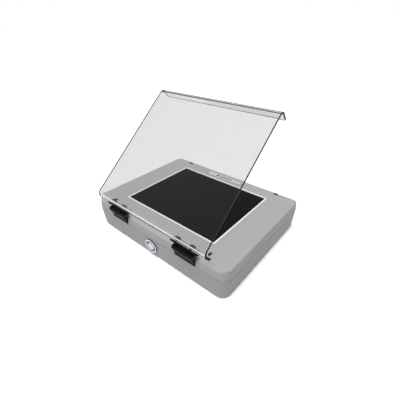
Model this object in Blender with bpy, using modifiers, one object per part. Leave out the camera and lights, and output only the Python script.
"""UV transilluminator: a low two-part housing with a dark filter window and a hinged clear cover.

Frame: metres, +Z up, the cover opens from the rear (+Y) and swings on hinges along the front edge (-Y).
Heights are measured up from the housing's flat underside; the last step lowers the whole part so
that the origin is in the middle of the filter's upper face, where a gel is laid.
"""
import math

import bmesh
import bpy
from mathutils import Matrix

MM = 0.001
GAP = 0.3 * MM

# Housing: half sizes, corner radius and height of each outer section.
FOOT_H = 3.0 * MM
TOP_Z = 56.5 * MM
SEAM_Z = 37.5 * MM
WALL = 3.0 * MM
CORNER_STEPS = 6
TOP_SECTIONS = (
    (153.3 * MM, 121.0 * MM, 18.0 * MM, SEAM_Z + GAP / 2),
    (152.3 * MM, 119.2 * MM, 17.0 * MM, 51.5 * MM),
    (151.9 * MM, 114.2 * MM, 9.5 * MM, 55.3 * MM),
    (151.0 * MM, 112.6 * MM, 8.0 * MM, TOP_Z),
)
TOP_INSIDE = (
    (148.6 * MM, 111.0 * MM, 6.0 * MM, TOP_Z - WALL),
    (149.3 * MM, 116.4 * MM, 13.0 * MM, 50.0 * MM),
    (150.3 * MM, 118.0 * MM, 15.0 * MM, SEAM_Z + GAP / 2),
)
BOTTOM_SECTIONS = (
    (153.3 * MM, 121.0 * MM, 18.0 * MM, SEAM_Z - GAP / 2),
    (150.8 * MM, 118.6 * MM, 16.0 * MM, 1.5 * MM),
    (149.3 * MM, 117.1 * MM, 14.5 * MM, 0.0),
)
BOTTOM_INSIDE = (
    (147.8 * MM, 115.6 * MM, 13.0 * MM, WALL),
    (150.3 * MM, 118.0 * MM, 15.0 * MM, SEAM_Z - GAP / 2),
)

# Filter window.
GLASS_X = 99.85 * MM
GLASS_Y = 79.85 * MM
GLASS_T = 4.1 * MM
GLASS_TOP = TOP_Z + 0.1 * MM
FRAME_BACK_Z = 50.0 * MM
FRAME_LEDGE_T = 1.4 * MM
FRAME_TOP = TOP_Z + 0.9 * MM
GASKET_T = 0.5 * MM
OPENING_X = 102.0 * MM
OPENING_Y = 82.0 * MM

# Cover: one bent acrylic sheet, described in its closed position about the hinge axis.
HINGE_Y = -124.0 * MM
HINGE_Z = 57.0 * MM
OPEN_ANGLE = math.radians(40.8)
COVER_HALF_X = 122.3 * MM
COVER_T = 4.0 * MM
COVER_LENGTH = 236.0 * MM
COVER_BEND_R = 10.5 * MM
COVER_FRONT_Y = 7.8 * MM
COVER_TOP_Z = 23.4 * MM
FLANGE_H = 23.5 * MM
LIP_H = 23.5 * MM
BEND_STEPS = 7

# Hinges.
HINGE_X = 78.0 * MM
BARREL_R = 4.5 * MM
BASE_LENGTH = 40.0 * MM
LEAF_LENGTH = 50.0 * MM
LEAF_T = 2.6 * MM
LEAF_TOP_Z = 9.2 * MM
KNUCKLE_LENGTH = 18.0 * MM
KNUCKLE_GAP = 0.4 * MM
PIN_R = 1.5 * MM
PIN_BORE_R = 1.85 * MM
COVER_SCREW_SPACING = 28.6 * MM
COVER_SCREW_Z = 6.2 * MM
BASE_SCREW_SPACING = 26.0 * MM
BASE_SCREW_Z = 47.2 * MM
BASE_HOLE_R = 1.6 * MM

# Power button on the front wall.
BUTTON_Z = 19.8 * MM
BUTTON_FACE = 2.4 * MM
BEZEL_R = 13.6 * MM
RING_R = 10.3 * MM
CAP_R = 6.9 * MM
SWITCH_FLANGE_R = 13.9 * MM
SWITCH_BODY_R = 11.5 * MM

# Mains inlet on the rear wall, square to the wall's lean.
INLET_X = -95.0 * MM
INLET_Z = 19.5 * MM
WALL_LEAN = math.atan2(BOTTOM_SECTIONS[0][1] - BOTTOM_SECTIONS[1][1],
                       BOTTOM_SECTIONS[0][3] - BOTTOM_SECTIONS[1][3])
INLET_FLANGE = (50.0 * MM, 30.0 * MM, 2.0 * MM)
INLET_BODY = (27.4 * MM, 27.0 * MM, 25.0 * MM)
SOCKET = (24.0 * MM, 15.6 * MM, 16.0 * MM)
SOCKET_Z = 4.4 * MM
BLADE = (2.0 * MM, 4.0 * MM, 11.0 * MM)
DRAWER = (22.0 * MM, 5.6 * MM, 17.0 * MM)
DRAWER_Z = -8.6 * MM
INLET_SCREW_X = 20.0 * MM

# Lamps, tray and electronics inside.
LAMP_COUNT = 6
LAMP_PITCH = 27.0 * MM
LAMP_R = 7.75 * MM
LAMP_HALF = 106.0 * MM
LAMP_Z = 32.5 * MM
TRAY_X = 119.0 * MM
TRAY_Y = 84.0 * MM
TRAY_Z = 21.2 * MM
TRAY_T = 0.8 * MM
TRAY_WALL_H = 16.0 * MM
HOLDER_T = 10.0 * MM
HOLDER_TOP = 41.0 * MM
BOARD = (150.0 * MM, 70.0 * MM, 1.6 * MM)
BOARD_Z = 6.8 * MM

# Fixings.
SHELL_SCREW_AT = (138.0 * MM, 104.0 * MM)
FOOT_AT = (120.0 * MM, 92.0 * MM)
TRAY_POST_AT = (110.0 * MM, 76.0 * MM)
BOARD_POST_AT = (68.0 * MM, 28.0 * MM)
BUMPER_REAR_AT = (108.5 * MM, 107.5 * MM)
BUMPER_FRONT_AT = (111.0 * MM, -103.0 * MM)
CORNERS = (("front_left", -1, -1), ("front_right", 1, -1), ("rear_left", -1, 1), ("rear_right", 1, 1))
SIDES = (("left", -1), ("right", 1))

for old in list(bpy.data.objects):
    bpy.data.objects.remove(old, do_unlink=True)

PARTS = bpy.data.collections.new("uv_transilluminator")
CUTTERS = bpy.data.collections.new("cutters")
bpy.context.scene.collection.children.link(PARTS)
bpy.context.scene.collection.children.link(CUTTERS)


# ---------------------------------------------------------------- materials
def finish(name, color, roughness, metallic=0.0, transmission=0.0):
    material = bpy.data.materials.new(name)
    material.use_nodes = True
    shader = material.node_tree.nodes["Principled BSDF"]
    shader.inputs["Base Color"].default_value = (*color, 1.0)
    shader.inputs["Roughness"].default_value = roughness
    shader.inputs["Metallic"].default_value = metallic
    shader.inputs["Transmission Weight"].default_value = transmission
    material.diffuse_color = (*color, 1.0)
    return material


GREY_PAINT = finish("grey_paint", (0.45, 0.45, 0.45), 0.45)
FILTER_GLASS = finish("filter_glass", (0.012, 0.013, 0.012), 0.08)
BRIGHT_TRIM = finish("bright_trim", (0.85, 0.86, 0.87), 0.25, 1.0)
BLACK_SEAL = finish("black_seal", (0.02, 0.02, 0.02), 0.8)
BADGE_FINISH = finish("badge_finish", (0.62, 0.64, 0.66), 0.3, 0.4)
CLEAR_ACRYLIC = finish("clear_acrylic", (0.97, 0.98, 0.98), 0.03, 0.0, 1.0)
BLACK_NYLON = finish("black_nylon", (0.012, 0.012, 0.012), 0.4)
STEEL = finish("steel", (0.55, 0.56, 0.58), 0.3, 1.0)
BLACK_SCREW = finish("black_screw", (0.02, 0.02, 0.02), 0.35, 0.6)
CAP_WHITE = finish("cap_white", (0.85, 0.86, 0.88), 0.3)
RING_BLUE = finish("ring_blue", (0.03, 0.12, 0.6), 0.25)
SWITCH_BLACK = finish("switch_black", (0.02, 0.02, 0.02), 0.5)
LAMP_GLASS = finish("lamp_glass", (0.75, 0.75, 0.8), 0.2)
HOLDER_WHITE = finish("holder_white", (0.8, 0.8, 0.78), 0.5)
REFLECTOR = finish("reflector", (0.8, 0.81, 0.82), 0.2, 1.0)
BOARD_GREEN = finish("board_green", (0.02, 0.16, 0.06), 0.5)
CORE_BROWN = finish("core_brown", (0.08, 0.05, 0.03), 0.5)
LEAD_GREY = finish("lead_grey", (0.25, 0.25, 0.27), 0.6)


# ---------------------------------------------------------------- modelling helpers
def place(obj, material=None, at=(0, 0, 0), turn=(0, 0, 0), parent=None, smooth=False, cutter=False):
    """Link an object, set its place and its finish."""
    (CUTTERS if cutter else PARTS).objects.link(obj)
    obj.location = at
    obj.rotation_euler = turn
    obj.parent = parent
    if cutter:
        obj.hide_render = True
        obj.display_type = "WIRE"
    else:
        obj.data.materials.append(material)
    if smooth:
        obj.data.shade_smooth()
        obj.data.set_sharp_from_angle(angle=math.radians(35))
    return obj


def from_bmesh(name, bm):
    mesh = bpy.data.meshes.new(name)
    bm.normal_update()
    bm.to_mesh(mesh)
    bm.free()
    return bpy.data.objects.new(name, mesh)


def box(name, size, bevel=0.0, **options):
    """A box centred on its own origin, with its edges rounded where a bevel is given."""
    bm = bmesh.new()
    bmesh.ops.create_cube(bm, size=1.0, matrix=Matrix.Diagonal((*size, 1.0)))
    if bevel:
        bmesh.ops.bevel(bm, geom=bm.edges[:], offset=bevel, segments=2, profile=0.5,
                        affect="EDGES", material=-1)
    return place(from_bmesh(name, bm), **options)


def rod(name, radius, depth, segments=16, **options):
    """A cylinder along its own Z, centred on its origin."""
    bm = bmesh.new()
    bmesh.ops.create_cone(bm, cap_ends=True, segments=segments, radius1=radius, radius2=radius,
                          depth=depth)
    return place(from_bmesh(name, bm), **options)


def turned(name, profile, segments=12, closed=False, **options):
    """A turned piece: a profile of (radius, z) points, outer side from top to bottom."""
    bm = bmesh.new()
    verts = [bm.verts.new((radius, 0.0, z)) for radius, z in profile]
    for first, second in zip(verts, verts[1:]):
        bm.edges.new((first, second))
    if closed:
        bm.edges.new((verts[-1], verts[0]))
    obj = from_bmesh(name, bm)
    screw = obj.modifiers.new("turn", "SCREW")
    screw.steps = segments
    screw.render_steps = segments
    screw.use_merge_vertices = True
    screw.merge_threshold = 0.00001
    return place(obj, **options)


def prism(name, outline, length, **options):
    """A flat outline of (y, z) points, extruded along X and centred on x = 0."""
    bm = bmesh.new()
    face = bm.faces.new([bm.verts.new((-length / 2, y, z)) for y, z in outline])
    grown = bmesh.ops.extrude_face_region(bm, geom=[face])
    moved = [v for v in grown["geom"] if isinstance(v, bmesh.types.BMVert)]
    bmesh.ops.translate(bm, verts=moved, vec=(length, 0, 0))
    bmesh.ops.recalc_face_normals(bm, faces=bm.faces[:])
    return place(from_bmesh(name, bm), **options)


def rounded_rectangle(half_x, half_y, radius, steps):
    """Points of a rectangle with round corners, counter-clockwise from the rear right corner."""
    points = []
    centres = ((1, 1, 0), (-1, 1, 90), (-1, -1, 180), (1, -1, 270))
    for sign_x, sign_y, start in centres:
        for step in range(steps + 1):
            angle = math.radians(start + 90 * step / steps)
            points.append((sign_x * (half_x - radius) + radius * math.cos(angle),
                           sign_y * (half_y - radius) + radius * math.sin(angle)))
    return points


def loft(sections, closed_ring=False, steps=CORNER_STEPS):
    """Skin between round-cornered sections (half x, half y, radius, z), in one bmesh.

    The ends are capped, or joined to each other where the sections go round a ring.
    """
    bm = bmesh.new()
    rings = []
    for half_x, half_y, radius, z in sections:
        points = rounded_rectangle(half_x, half_y, radius, steps)
        rings.append([bm.verts.new((x, y, z)) for x, y in points])
    pairs = list(zip(rings, rings[1:]))
    if closed_ring:
        pairs.append((rings[-1], rings[0]))
    for lower, upper in pairs:
        for index, vert in enumerate(lower):
            after = (index + 1) % len(lower)
            bm.faces.new((vert, lower[after], upper[after], upper[index]))
    if not closed_ring:
        bm.faces.new(rings[0])
        bm.faces.new(rings[-1])
    bmesh.ops.recalc_face_normals(bm, faces=bm.faces[:])
    return bm


def boolean(target, tool, operation="DIFFERENCE"):
    modifier = target.modifiers.new(operation.lower(), "BOOLEAN")
    modifier.operation = operation
    modifier.object = tool
    return target


def cut(target, tool):
    return boolean(target, tool, "DIFFERENCE")


def join(target, tool):
    return boolean(target, tool, "UNION")


def cylinders(name, radius, low, high, spots, segments=12):
    """Upright cylinders from low to high at each spot, in one cutter object."""
    bm = bmesh.new()
    for x, y in spots:
        place_at = Matrix.Translation((x, y, (low + high) / 2))
        bmesh.ops.create_cone(bm, cap_ends=True, segments=segments, radius1=radius, radius2=radius,
                              depth=high - low, matrix=place_at)
    return place(from_bmesh(name, bm), cutter=True)


def four(spot):
    return [(sign_x * spot[0], sign_y * spot[1]) for _, sign_x, sign_y in CORNERS]


def shell_wall(obj, thickness):
    """Give an open surface its wall, inwards."""
    wall = obj.modifiers.new("wall", "SOLIDIFY")
    wall.thickness = thickness
    wall.offset = -1.0
    wall.use_even_offset = True
    return obj


ALONG_Y = (math.radians(90), 0, 0)
ALONG_X = (0, math.radians(90), 0)


# ---------------------------------------------------------------- housing shells
BOSS_R = 5.0 * MM
SHELL_BOSS_R = 7.0 * MM
SCREW_R = 2.0 * MM
SCREW_HOLE_R = 2.3 * MM
HEAD_HOLE_R = 4.6 * MM
HEAD_HOLE_TOP = 6.0 * MM
SCREW_TIP_Z = 50.5 * MM
CEILING_Z = TOP_Z - WALL
BOSS_SINK = 1.0 * MM


def wall_y(z):
    """Depth of the top shell's front wall, outside, at a height between seam and slope."""
    low, high = TOP_SECTIONS[0], TOP_SECTIONS[1]
    share = (z - low[3]) / (high[3] - low[3])
    return low[1] + share * (high[1] - low[1])


def make_top_shell():
    """Flat top with sloped front and rear edges; skirt down to the seam; four screw bosses."""
    shell = place(from_bmesh("top_shell", loft(TOP_INSIDE + TOP_SECTIONS)), GREY_PAINT)
    join(shell, cylinders("top_bosses", BOSS_R, SEAM_Z + GAP, CEILING_Z + BOSS_SINK,
                          four(SHELL_SCREW_AT)))
    cut(shell, cylinders("top_boss_holes", SCREW_HOLE_R, SEAM_Z - 5 * MM, SCREW_TIP_Z + 1 * MM,
                         four(SHELL_SCREW_AT)))
    window = box("window_cutter", (2 * OPENING_X, 2 * OPENING_Y, 20 * MM), at=(0, 0, TOP_Z),
                 cutter=True)
    cut(shell, window)
    for side, sign in SIDES:
        for number, offset in enumerate((-1, 1), start=1):
            x = sign * HINGE_X + offset * BASE_SCREW_SPACING / 2
            hole = rod(f"wall_hole_{side}_{number}", BASE_HOLE_R, 14 * MM, 12, turn=ALONG_Y,
                       at=(x, -wall_y(BASE_SCREW_Z), BASE_SCREW_Z), cutter=True)
            cut(shell, hole)


def make_bottom_shell():
    """Tub below the seam with bosses, tray posts, board posts and its openings."""
    shell = place(from_bmesh("bottom_shell", loft(BOTTOM_INSIDE + BOTTOM_SECTIONS)), GREY_PAINT)
    sink = WALL - BOSS_SINK
    join(shell, cylinders("bottom_bosses", SHELL_BOSS_R, sink, SEAM_Z - GAP, four(SHELL_SCREW_AT)))
    join(shell, cylinders("tray_posts", 4 * MM, sink, TRAY_Z - TRAY_T - GAP, four(TRAY_POST_AT)))
    join(shell, cylinders("board_posts", 3 * MM, sink, BOARD_Z - BOARD[2] / 2 - GAP,
                          four(BOARD_POST_AT)))
    cut(shell, cylinders("bottom_screw_holes", SCREW_HOLE_R, -WALL, SEAM_Z + WALL,
                         four(SHELL_SCREW_AT)))
    cut(shell, cylinders("head_holes", HEAD_HOLE_R, -WALL, HEAD_HOLE_TOP, four(SHELL_SCREW_AT)))
    cut(shell, rod("button_hole", SWITCH_BODY_R + 0.4 * MM, 20 * MM, 24, parent=BUTTON_AXIS,
                   cutter=True))
    cut(shell, box("inlet_cutter", (INLET_BODY[0] + 0.8 * MM, 20 * MM, INLET_BODY[1] + 0.8 * MM),
                   parent=INLET_AXIS, cutter=True))
    for number, sign in enumerate((-1, 1), start=1):
        cut(shell, rod(f"inlet_screw_hole_{number}", 1.9 * MM, 20 * MM, 12, turn=ALONG_Y,
                       at=(sign * INLET_SCREW_X, 0, 0), parent=INLET_AXIS, cutter=True))
    cut(shell, vent_cutters())


def vent_cutters():
    """A row of upright cooling slots in the rear wall."""
    bm = bmesh.new()
    for index in range(VENT_COUNT):
        centre = Matrix.Translation((VENT_X + index * VENT_PITCH, 118 * MM, INLET_Z))
        bmesh.ops.create_cube(bm, size=1.0,
                              matrix=centre @ Matrix.Diagonal((3 * MM, 20 * MM, 18 * MM, 1.0)))
    return place(from_bmesh("vent_cutters", bm), cutter=True)


VENT_COUNT = 10
VENT_PITCH = 8.0 * MM
VENT_X = 18.0 * MM


def wall_axis(name, x, z, side, turn):
    """A frame on the outside of the tub's front or rear wall, turned square to it."""
    low, high = BOTTOM_SECTIONS[1], BOTTOM_SECTIONS[0]
    share = (z - low[3]) / (high[3] - low[3])
    axis = bpy.data.objects.new(name, None)
    PARTS.objects.link(axis)
    axis.location = (x, side * (low[1] + share * (high[1] - low[1])), z)
    axis.rotation_euler = (turn, 0, 0)
    return axis


INLET_AXIS = wall_axis("inlet_axis", INLET_X, INLET_Z, 1, -WALL_LEAN)
BUTTON_AXIS = wall_axis("button_axis", 0, BUTTON_Z, -1, math.radians(90) + WALL_LEAN)

make_top_shell()
make_bottom_shell()


# ---------------------------------------------------------------- filter window
def make_window():
    """Dark glass on a gasket in a bright L-section frame whose lip lies on the top."""
    inner_x = GLASS_X + GAP
    inner_y = GLASS_Y + GAP
    ledge_top = FRAME_BACK_Z + FRAME_LEDGE_T
    outline = (
        (-4.0 * MM, FRAME_BACK_Z), (1.45 * MM, FRAME_BACK_Z), (1.45 * MM, TOP_Z + GAP),
        (3.2 * MM, TOP_Z + GAP), (3.2 * MM, FRAME_TOP), (0.0, FRAME_TOP),
        (0.0, ledge_top), (-4.0 * MM, ledge_top),
    )
    sections = [(inner_x + grow, inner_y + grow, max(0.3 * MM, 0.8 * MM + grow), z)
                for grow, z in outline]
    place(from_bmesh("filter_frame", loft(sections, True, 2)), BRIGHT_TRIM)
    low = ledge_top + GAP
    gasket = ((-3.8 * MM, low), (-0.5 * MM, low), (-0.5 * MM, low + GASKET_T),
              (-3.8 * MM, low + GASKET_T))
    sections = [(inner_x + grow, inner_y + grow, 0.3 * MM, z) for grow, z in gasket]
    place(from_bmesh("filter_gasket", loft(sections, True, 1)), BLACK_SEAL)
    box("filter_glass", (2 * GLASS_X, 2 * GLASS_Y, GLASS_T), bevel=0.3 * MM,
        at=(0, 0, GLASS_TOP - GLASS_T / 2), material=FILTER_GLASS)


make_window()


# ---------------------------------------------------------------- trim on the top
def make_top_trim():
    box("badge_plate", (81 * MM, 11 * MM, 0.7 * MM), bevel=0.2 * MM, material=BADGE_FINISH,
        at=(-5.5 * MM, 97.3 * MM, TOP_Z + GAP + 0.35 * MM))
    height = 1.6 * MM
    middle = TOP_Z + GAP + height / 2
    for side, sign in SIDES:
        box(f"bumper_rear_{side}", (8 * MM, 3.2 * MM, height), bevel=0.5 * MM, material=BLACK_SEAL,
            at=(sign * BUMPER_REAR_AT[0], BUMPER_REAR_AT[1], middle))
        box(f"bumper_front_{side}", (3.2 * MM, 7 * MM, height), bevel=0.5 * MM, material=BLACK_SEAL,
            at=(sign * BUMPER_FRONT_AT[0], BUMPER_FRONT_AT[1], middle))


make_top_trim()

# ---------------------------------------------------------------- cover and hinges
COVER_AXIS = bpy.data.objects.new("cover_axis", None)
PARTS.objects.link(COVER_AXIS)
COVER_AXIS.location = (0, HINGE_Y, HINGE_Z)
COVER_AXIS.rotation_euler = (OPEN_ANGLE, 0, 0)


def arc(centre, radius, start, end, steps):
    """Points of an arc in the (y, z) plane, angles in degrees."""
    points = []
    for step in range(steps + 1):
        angle = math.radians(start + (end - start) * step / steps)
        points.append((centre[0] + radius * math.cos(angle), centre[1] + radius * math.sin(angle)))
    return points


def cover_profile():
    """The sheet's outer face in the closed position, from flange tip over the top to lip tip."""
    front = COVER_FRONT_Y
    back = COVER_FRONT_Y + COVER_LENGTH
    radius = COVER_BEND_R
    top = COVER_TOP_Z
    points = [(front, top - FLANGE_H)]
    points += arc((front + radius, top - radius), radius, 180, 90, BEND_STEPS)
    points += arc((back - radius, top - radius), radius, 90, 0, BEND_STEPS)
    points.append((back, top - LIP_H))
    return points


def make_cover():
    """One acrylic sheet, bent down at both ends, with four holes in its hinge flange."""
    bm = bmesh.new()
    verts = [bm.verts.new((-COVER_HALF_X, y, z)) for y, z in cover_profile()]
    edges = [bm.edges.new(pair) for pair in zip(verts, verts[1:])]
    grown = bmesh.ops.extrude_edge_only(bm, edges=edges)
    moved = [v for v in grown["geom"] if isinstance(v, bmesh.types.BMVert)]
    bmesh.ops.translate(bm, verts=moved, vec=(2 * COVER_HALF_X, 0, 0))
    for face in bm.faces:
        face.normal_update()
    if sum(face.normal.z * face.calc_area() for face in bm.faces) < 0:
        bmesh.ops.reverse_faces(bm, faces=bm.faces[:])
    cover = place(from_bmesh("cover_sheet", bm), CLEAR_ACRYLIC, parent=COVER_AXIS)
    shell_wall(cover, COVER_T)
    for x in cover_screw_places():
        cut(cover, rod(f"flange_hole_{x / MM:.0f}", SCREW_HOLE_R, 12 * MM, turn=ALONG_Y,
                       at=(x, COVER_FRONT_Y + COVER_T / 2, COVER_SCREW_Z),
                       parent=COVER_AXIS, cutter=True))


def cover_screw_places():
    return [sign * HINGE_X + offset * COVER_SCREW_SPACING / 2
            for _, sign in SIDES for offset in (-1, 1)]


def make_hinge_base(side, x):
    """Fixed leaf on the front wall: a wedge up to the outer knuckles, open in its middle."""
    lower = 39.3 * MM
    step_z = 44.0 * MM
    back = -wall_y(lower) - GAP
    outline = [
        (back, lower), (back - 1.8 * MM, lower), (back - 1.6 * MM, step_z), (back - 2.0 * MM, step_z),
        (back - 2.9 * MM, step_z + 3.0 * MM), (back - 6.1 * MM, step_z + 9.3 * MM),
    ]
    outline += arc((HINGE_Y, HINGE_Z), BARREL_R, 208, -60, 16)
    upper = 51.0 * MM
    outline.append((-wall_y(upper) - GAP, upper))
    base = prism(f"{side}_hinge_base", outline, BASE_LENGTH, material=BLACK_NYLON, at=(x, 0, 0))
    cut(base, rod(f"{side}_base_bore", PIN_BORE_R, BASE_LENGTH + 10 * MM, turn=ALONG_X,
                  at=(x, HINGE_Y, HINGE_Z), cutter=True))
    cut(base, rod(f"{side}_base_notch", BARREL_R + 1.1 * MM, KNUCKLE_LENGTH + 2 * KNUCKLE_GAP, 24,
                  turn=ALONG_X, at=(x, HINGE_Y, HINGE_Z), cutter=True))
    for number, sign in enumerate((-1, 1), start=1):
        screw_x = x + sign * BASE_SCREW_SPACING / 2
        front_y = -wall_y(BASE_SCREW_Z)
        cut(base, rod(f"{side}_base_hole_{number}", BASE_HOLE_R, 5.7 * MM, 12, turn=ALONG_Y,
                      at=(screw_x, front_y, BASE_SCREW_Z), cutter=True))
        make_base_screw(f"{side}_base_screw_{number}", screw_x, front_y)


def make_base_screw(name, x, front_y):
    """Pan-head screw from inside the wall into the hinge base; its own Z runs forwards."""
    seat = -WALL - 0.75 * MM
    tip = 2.5 * MM
    profile = [(0, tip), (0.9 * MM, tip), (1.25 * MM, tip - 0.4 * MM), (1.25 * MM, seat),
               (2.6 * MM, seat), (2.6 * MM, seat - 1.2 * MM), (2.0 * MM, seat - 1.8 * MM),
               (0, seat - 1.8 * MM)]
    turned(name, profile, material=STEEL, at=(x, front_y, BASE_SCREW_Z), turn=ALONG_Y,
           smooth=True)


def make_hinge_leaf(side, x):
    """Moving leaf under the cover's flange: plate, web and the middle knuckle."""
    plate_y = COVER_FRONT_Y - GAP - LEAF_T / 2
    bottom = -1.0 * MM
    leaf = box(f"{side}_hinge_leaf", (LEAF_LENGTH, LEAF_T, LEAF_TOP_Z - bottom), bevel=0.5 * MM,
               at=(x, plate_y, (LEAF_TOP_Z + bottom) / 2), parent=COVER_AXIS, material=BLACK_NYLON)
    outline = arc((0, 0), BARREL_R, 75, 320, 18)
    outline += [(plate_y, -0.4 * MM), (plate_y, 3.4 * MM)]
    knuckle = prism(f"{side}_knuckle", outline, KNUCKLE_LENGTH, at=(x, 0, 0), parent=COVER_AXIS,
                    cutter=True)
    join(leaf, knuckle)
    cut(leaf, rod(f"{side}_leaf_bore", PIN_BORE_R, KNUCKLE_LENGTH + 10 * MM, turn=ALONG_X,
                  at=(x, 0, 0), parent=COVER_AXIS, cutter=True))
    for number, sign in enumerate((-1, 1), start=1):
        screw_x = x + sign * COVER_SCREW_SPACING / 2
        cut(leaf, rod(f"{side}_leaf_hole_{number}", SCREW_HOLE_R, 6 * MM, turn=ALONG_Y,
                      at=(screw_x, plate_y, COVER_SCREW_Z), parent=COVER_AXIS, cutter=True))
        make_cover_screw(f"{side}_cover_screw_{number}", screw_x)


def make_cover_screw(name, x):
    """Black dome-head screw through the flange into the leaf; its own Z runs forwards."""
    seat = -COVER_T - GAP
    head = seat - 3.4 * MM
    tip = GAP + LEAF_T - 0.2 * MM
    profile = [(0, tip), (1.9 * MM, tip), (1.9 * MM, seat), (5.0 * MM, seat),
               (5.0 * MM, seat - 1.2 * MM), (4.6 * MM, seat - 2.2 * MM), (3.6 * MM, head + 0.3 * MM),
               (2.6 * MM, head), (0, head)]
    turned(name, profile, 16, material=BLACK_SCREW, at=(x, COVER_FRONT_Y, COVER_SCREW_Z),
           turn=ALONG_Y, parent=COVER_AXIS, smooth=True)


def make_hinge_pin(side, x):
    """Steel pin through both halves, headed at its two ends."""
    end = BASE_LENGTH / 2 + GAP
    head = end + 0.9 * MM
    profile = [(0, head), (2.2 * MM, head), (2.6 * MM, head - 0.4 * MM), (2.6 * MM, end),
               (PIN_R, end), (PIN_R, -end), (2.6 * MM, -end), (2.6 * MM, 0.4 * MM - head),
               (2.2 * MM, -head), (0, -head)]
    turned(f"{side}_hinge_pin", profile, material=STEEL, at=(x, HINGE_Y, HINGE_Z), turn=ALONG_X,
           smooth=True)


make_cover()
for side_name, side_sign in SIDES:
    make_hinge_base(side_name, side_sign * HINGE_X)
    make_hinge_leaf(side_name, side_sign * HINGE_X)
    make_hinge_pin(side_name, side_sign * HINGE_X)


# ---------------------------------------------------------------- power button
def make_button():
    """Turned pieces about the button's axis; their own Z runs out of the front wall."""
    where = {"parent": BUTTON_AXIS, "smooth": True}
    bore = CAP_R + GAP
    ring_bore = RING_R + GAP
    seat = BUTTON_FACE - 4.6 * MM
    turned("switch_body", [
        (0, -18.6 * MM), (4.0 * MM, -18.6 * MM), (4.0 * MM, -11.6 * MM), (bore, -11.6 * MM),
        (bore, seat), (ring_bore, seat), (ring_bore, 1.1 * MM), (SWITCH_FLANGE_R, 1.1 * MM),
        (SWITCH_FLANGE_R, GAP), (SWITCH_BODY_R, GAP), (SWITCH_BODY_R, -24.6 * MM), (0, -24.6 * MM),
    ], 24, material=SWITCH_BLACK, **where)
    turned("switch_nut", [
        (14.8 * MM, -3.6 * MM), (14.8 * MM, -6.8 * MM), (SWITCH_BODY_R + GAP, -6.8 * MM),
        (SWITCH_BODY_R + GAP, -3.6 * MM),
    ], 24, closed=True, material=SWITCH_BLACK, **where)
    turned("button_bezel", [
        (BEZEL_R - 0.5 * MM, BUTTON_FACE), (BEZEL_R, 2.0 * MM), (BEZEL_R, 1.4 * MM),
        (ring_bore, 1.4 * MM), (ring_bore, 2.2 * MM), (ring_bore + 0.3 * MM, BUTTON_FACE),
    ], 28, closed=True, material=CAP_WHITE, **where)
    turned("button_light_ring", [
        (RING_R, 2.1 * MM), (RING_R, seat + GAP), (bore, seat + GAP), (bore, 2.1 * MM),
    ], 24, closed=True, material=RING_BLUE, **where)
    turned("button_cap", [
        (0, 2.7 * MM), (CAP_R - 0.6 * MM, 2.6 * MM), (CAP_R, 2.1 * MM), (CAP_R, -7.6 * MM),
        (3.2 * MM, -7.6 * MM), (3.2 * MM, -15.6 * MM), (0, -15.6 * MM),
    ], 24, material=CAP_WHITE, **where)


make_button()


# ---------------------------------------------------------------- mains inlet
def make_inlet():
    """Flanged socket with three blades and a pocket for the fuse drawer, square to the wall."""
    flange_y = GAP + INLET_FLANGE[2] / 2
    inlet = box("mains_inlet", (INLET_FLANGE[0], INLET_FLANGE[2], INLET_FLANGE[1]), bevel=0.4 * MM,
                at=(0, flange_y, 0), parent=INLET_AXIS, material=SWITCH_BLACK)
    face_y = GAP + INLET_FLANGE[2]
    body_depth = INLET_BODY[2]
    body = box("inlet_body", (INLET_BODY[0], body_depth, INLET_BODY[1]),
               at=(0, face_y - 0.8 * MM - body_depth / 2, 0), parent=INLET_AXIS, cutter=True)
    join(inlet, body)
    cut(inlet, box("inlet_socket", (SOCKET[0], 2 * SOCKET[2], SOCKET[1]),
                   at=(0, face_y, SOCKET_Z), parent=INLET_AXIS, cutter=True))
    pocket = (DRAWER[0] + 0.8 * MM, 2 * DRAWER[2], DRAWER[1] + 0.8 * MM)
    cut(inlet, box("drawer_pocket", pocket, at=(0, face_y, DRAWER_Z), parent=INLET_AXIS,
                   cutter=True))
    for name, x, z in (("line", -7.0, -2.0), ("neutral", 7.0, -2.0), ("earth", 0.0, 2.0)):
        depth = BLADE[2] + 1.0 * MM
        blade_y = face_y - SOCKET[2] - 1.0 * MM + depth / 2
        join(inlet, box(f"blade_{name}", (BLADE[0], depth, BLADE[1]),
                        at=(x * MM, blade_y, SOCKET_Z + z * MM), parent=INLET_AXIS, cutter=True))
    for number, sign in enumerate((-1, 1), start=1):
        cut(inlet, rod(f"flange_hole_{number}", 1.9 * MM, 12 * MM, 12, turn=ALONG_Y,
                       at=(sign * INLET_SCREW_X, flange_y, 0), parent=INLET_AXIS, cutter=True))
        seat = face_y + GAP
        profile = [(0, 1.7 * MM), (1.6 * MM, 1.6 * MM), (2.9 * MM, 0.7 * MM), (2.9 * MM, 0.0),
                   (1.5 * MM, 0.0), (1.5 * MM, -9.0 * MM), (0, -9.0 * MM)]
        turned(f"inlet_screw_{number}", profile, at=(sign * INLET_SCREW_X, seat, 0),
               turn=(math.radians(-90), 0, 0), parent=INLET_AXIS, material=STEEL, smooth=True)
    drawer = box("fuse_drawer", (DRAWER[0], DRAWER[2] - 0.4 * MM, DRAWER[1]), bevel=0.4 * MM,
                 at=(0, face_y - DRAWER[2] / 2 + 1.2 * MM, DRAWER_Z), parent=INLET_AXIS,
                 material=SWITCH_BLACK)
    cut(drawer, box("drawer_grip", (8 * MM, 1.6 * MM, 2.0 * MM),
                    at=(0, face_y + 1.0 * MM, DRAWER_Z + DRAWER[1] / 2), parent=INLET_AXIS,
                    cutter=True))


make_inlet()


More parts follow.
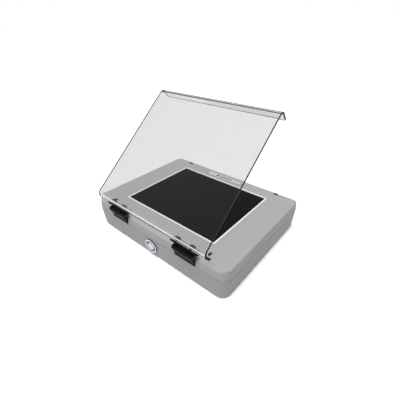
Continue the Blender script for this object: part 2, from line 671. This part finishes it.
# ---------------------------------------------------------------- lamps, tray, electronics
def make_lamp_mesh():
    """Straight tube with a metal cap and two contact pins at each end, along its own Z."""
    cap = 9.0 * MM
    half = LAMP_HALF
    profile = [(0, half), (6.8 * MM, half), (7.6 * MM, half - 0.8 * MM), (7.6 * MM, half - cap),
               (LAMP_R, half - cap - 0.5 * MM), (LAMP_R, cap + 0.5 * MM - half),
               (7.6 * MM, cap - half), (7.6 * MM, 0.8 * MM - half), (6.8 * MM, -half), (0, -half)]
    tube = turned("lamp_source", profile, 14, cutter=True)
    bm = bmesh.new()
    for end in (-1, 1):
        for side in (-1, 1):
            spot = Matrix.Translation((side * 2.4 * MM, 0, end * (half + 2.0 * MM)))
            bmesh.ops.create_cone(bm, cap_ends=True, segments=6, radius1=1.1 * MM,
                                  radius2=1.1 * MM, depth=7.0 * MM, matrix=spot)
    join(tube, place(from_bmesh("lamp_pins", bm), cutter=True))
    bpy.context.view_layer.update()
    evaluated = tube.evaluated_get(bpy.context.evaluated_depsgraph_get())
    return bpy.data.meshes.new_from_object(evaluated)


def make_lamps():
    mesh = make_lamp_mesh()
    mesh.shade_smooth()
    mesh.set_sharp_from_angle(angle=math.radians(35))
    for index in range(LAMP_COUNT):
        y = (index - (LAMP_COUNT - 1) / 2) * LAMP_PITCH
        lamp = bpy.data.objects.new(f"uv_lamp_{index + 1}", mesh)
        place(lamp, LAMP_GLASS, at=(0, y, LAMP_Z), turn=ALONG_X)


def make_lamp_holders():
    """Two insulating strips; each lamp's pins drop into a notch in them."""
    length = LAMP_COUNT * LAMP_PITCH
    low = TRAY_Z + GAP
    for side, sign in SIDES:
        x = sign * (LAMP_HALF + 0.5 * MM + HOLDER_T / 2)
        strip = box(f"lamp_holder_{side}", (HOLDER_T, length, HOLDER_TOP - low), bevel=0.6 * MM,
                    at=(x, 0, (HOLDER_TOP + low) / 2), material=HOLDER_WHITE)
        bm = bmesh.new()
        floor = LAMP_Z - 5.0 * MM
        for index in range(LAMP_COUNT):
            y = (index - (LAMP_COUNT - 1) / 2) * LAMP_PITCH
            spot = Matrix.Translation((x, y, floor + 10 * MM))
            bmesh.ops.create_cube(bm, size=1.0,
                                  matrix=spot @ Matrix.Diagonal((20 * MM, 3.6 * MM, 20 * MM, 1.0)))
        cut(strip, place(from_bmesh(f"{side}_pin_notches", bm), cutter=True))


def make_tray():
    """Folded bright sheet under the lamps with leaning front and rear walls."""
    bm = bmesh.new()
    lean = 7.0 * MM
    outline = [(-TRAY_Y - lean, TRAY_Z + TRAY_WALL_H), (-TRAY_Y, TRAY_Z), (TRAY_Y, TRAY_Z),
               (TRAY_Y + lean, TRAY_Z + TRAY_WALL_H)]
    verts = [bm.verts.new((-TRAY_X, y, z)) for y, z in outline]
    edges = [bm.edges.new(pair) for pair in zip(verts, verts[1:])]
    grown = bmesh.ops.extrude_edge_only(bm, edges=edges)
    moved = [v for v in grown["geom"] if isinstance(v, bmesh.types.BMVert)]
    bmesh.ops.translate(bm, verts=moved, vec=(2 * TRAY_X, 0, 0))
    for face in bm.faces:
        face.normal_update()
    if sum(face.normal.z * face.calc_area() for face in bm.faces) < 0:
        bmesh.ops.reverse_faces(bm, faces=bm.faces[:])
    tray = place(from_bmesh("reflector_tray", bm), REFLECTOR)
    shell_wall(tray, TRAY_T)


def make_electronics():
    top = BOARD_Z + BOARD[2] / 2
    box("ballast_board", BOARD, at=(0, 0, BOARD_Z), material=BOARD_GREEN)
    box("ballast_transformer", (30 * MM, 26 * MM, 10.5 * MM), bevel=0.8 * MM,
        at=(-38 * MM, 4 * MM, top + GAP + 5.25 * MM), material=CORE_BROWN)
    rod("ballast_capacitor", 5.0 * MM, 22 * MM, 16, turn=ALONG_Y,
        at=(22 * MM, 6 * MM, top + GAP + 5.0 * MM), material=SWITCH_BLACK)
    lead("inlet_lead", [(INLET_X / MM, 94.0, 16.0), (-92.0, 84.0, 13.5), (-82.0, 66.0, 10.5),
                        (-70.0, 48.0, 10.0), (-62.0, 34.0, 10.2), (-58.0, 24.0, 10.3)])
    lead("switch_lead", [(0.0, -94.3, 21.4), (2.0, -88.0, 18.0), (8.0, -74.0, 14.0),
                         (14.0, -58.0, 11.2), (18.0, -42.0, 10.3), (20.0, -28.0, 10.2)])


def lead(name, route):
    """A two-core internal lead as a smooth round tube through its route points, in millimetres."""
    points = []
    padded = [route[0], *route, route[-1]]
    for before, start, end, after in zip(padded, padded[1:], padded[2:], padded[3:]):
        for step in range(3):
            share = step / 3
            points.append(tuple(smooth_value(b, s, e, a, share) * MM
                                for b, s, e, a in zip(before, start, end, after)))
    points.append(tuple(value * MM for value in route[-1]))
    curve = bpy.data.curves.new(name, "CURVE")
    curve.dimensions = "3D"
    curve.bevel_depth = 1.5 * MM
    curve.bevel_resolution = 2
    curve.use_fill_caps = True
    spline = curve.splines.new("POLY")
    spline.points.add(len(points) - 1)
    for point, place_at in zip(spline.points, points):
        point.co = (*place_at, 1.0)
    place(bpy.data.objects.new(name, curve), LEAD_GREY)


def smooth_value(before, start, end, after, share):
    """One coordinate of a Catmull-Rom curve between start and end."""
    square = share * share
    cube = square * share
    return 0.5 * (2 * start + (end - before) * share
                  + (2 * before - 5 * start + 4 * end - after) * square
                  + (3 * start - before - 3 * end + after) * cube)


make_lamps()
make_lamp_holders()
make_tray()
make_electronics()


# ---------------------------------------------------------------- shell screws and feet
def make_underside():
    head_z = 2.6 * MM
    for corner, sign_x, sign_y in CORNERS:
        x, y = sign_x * SHELL_SCREW_AT[0], sign_y * SHELL_SCREW_AT[1]
        seat = HEAD_HOLE_TOP - GAP
        profile = [(0, SCREW_TIP_Z), (1.2 * MM, SCREW_TIP_Z), (SCREW_R, SCREW_TIP_Z - 1.5 * MM),
                   (SCREW_R, seat), (4.0 * MM, seat), (4.0 * MM, head_z + 0.5 * MM),
                   (3.5 * MM, head_z), (0, head_z)]
        turned(f"shell_screw_{corner}", profile, at=(x, y, 0), material=STEEL, smooth=True)
        sole = -FOOT_H
        profile = [(0, -GAP), (9.0 * MM, -GAP), (8.6 * MM, sole + 0.5 * MM), (8.1 * MM, sole),
                   (0, sole)]
        turned(f"foot_{corner}", profile, 18, material=BLACK_SEAL, smooth=True,
               at=(sign_x * FOOT_AT[0], sign_y * FOOT_AT[1], 0))


make_underside()


# ---------------------------------------------------------------- origin
def lower_to_filter_face():
    """Bring the middle of the filter's upper face to the origin; fixed and moving pieces alike."""
    for collection in (PARTS, CUTTERS):
        for obj in collection.objects:
            if obj.parent is None:
                obj.location.z -= GLASS_TOP


lower_to_filter_face()
